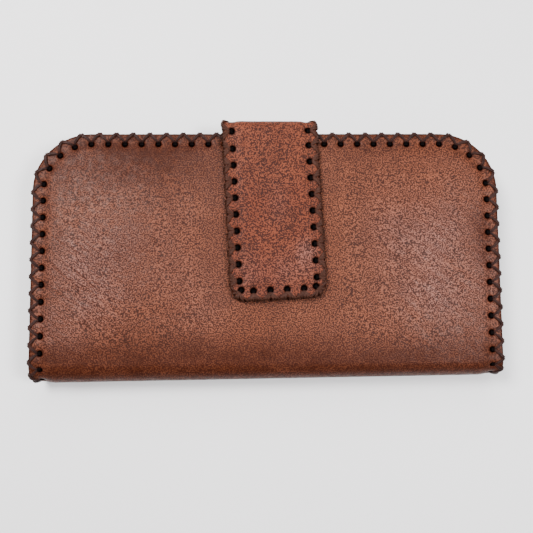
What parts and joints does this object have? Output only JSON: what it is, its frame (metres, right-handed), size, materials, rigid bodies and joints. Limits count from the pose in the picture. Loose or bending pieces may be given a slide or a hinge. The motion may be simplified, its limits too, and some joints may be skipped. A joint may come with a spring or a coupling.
{
  "type": "phone wallet case",
  "caption": "Folding long wallet in laced leather with a phone pocket, card slots and a strap that snaps over the opening edge.",
  "frame": {"origin": "middle of the closed wallet's footprint, on the plane that it rests on", "axes": "+X along the fold, +Y from the fold to the opening edge, +Z out of the front cover"},
  "size_m": [0.188, 0.1061, 0.0193],
  "materials": {
    "cover_leather": "reddish brown leather with a fine mottled grain, satin sheen",
    "strap_leather": "slightly redder brown leather, mottled grain, satin sheen",
    "lining_leather": "plain matt brown lining leather",
    "pocket_leather": "thin tan leather, matt",
    "lace": "dark brown flat waxed lace",
    "snap_metal": "nickel-plated sheet metal, satin",
    "magnet": "dark ferrite, matt"
  },
  "bodies": {
    "back_cover": {"back_cover_leather": "cover_leather", "back_lining": "lining_leather", "phone_pocket_gusset": "pocket_leather", "phone_pocket_front": "pocket_leather", "strap_tail": "strap_leather", "lacing_back": "lace"},
    "spine": {"spine_leather": "cover_leather", "spine_lining": "lining_leather", "lacing_spine": "lace"},
    "front_cover": {"front_cover_leather": "cover_leather", "front_lining": "lining_leather", "note_pocket_panel": "pocket_leather", "card_slot_upper": "pocket_leather", "card_slot_middle": "pocket_leather", "card_slot_lower": "pocket_leather", "slip_pocket_panel": "pocket_leather", "snap_socket": "snap_metal", "snap_magnet": "magnet", "snap_socket_washer": "snap_metal", "lacing_front": "lace"},
    "strap_riser": {"strap_riser_leather": "strap_leather", "strap_riser_lining": "lining_leather", "lacing_strap_riser": "lace"},
    "strap_flap": {"strap_flap_leather": "strap_leather", "strap_flap_lining": "lining_leather", "snap_stud": "snap_metal", "snap_stud_washer": "snap_metal", "lacing_strap_flap": "lace"}
  },
  "joints": [
    {"name": "back_crease", "type": "hinge", "parent": "back_cover", "child": "spine", "pos_m": [0, -0.05088, 0.00172], "axis": [1, 0, 0], "range_deg": [0, 90], "deforming": ["strap_riser_leather", "strap_riser_lining", "lacing_strap_riser", "strap_flap_leather", "strap_flap_lining", "snap_stud", "snap_stud_washer", "lacing_strap_flap"]},
    {"name": "front_crease", "type": "hinge", "parent": "spine", "child": "front_cover", "pos_m": [0, -0.05088, 0.01428], "axis": [1, 0, 0], "range_deg": [0, 90]},
    {"name": "strap_root", "type": "hinge", "parent": "back_cover", "child": "strap_riser", "pos_m": [0.0011, 0.05119, 0.0017], "axis": [-0.9989, -0.0471, 0], "range_deg": [0, 90]},
    {"name": "strap_tip", "type": "hinge", "parent": "strap_riser", "child": "strap_flap", "pos_m": [0.0011, 0.05119, 0.0179], "axis": [-0.9989, -0.0471, 0], "range_deg": [0, 90]}
  ],
  "couplings": [
    {"joint": "front_crease", "follows": "back_crease", "ratio": 1}
  ]
}
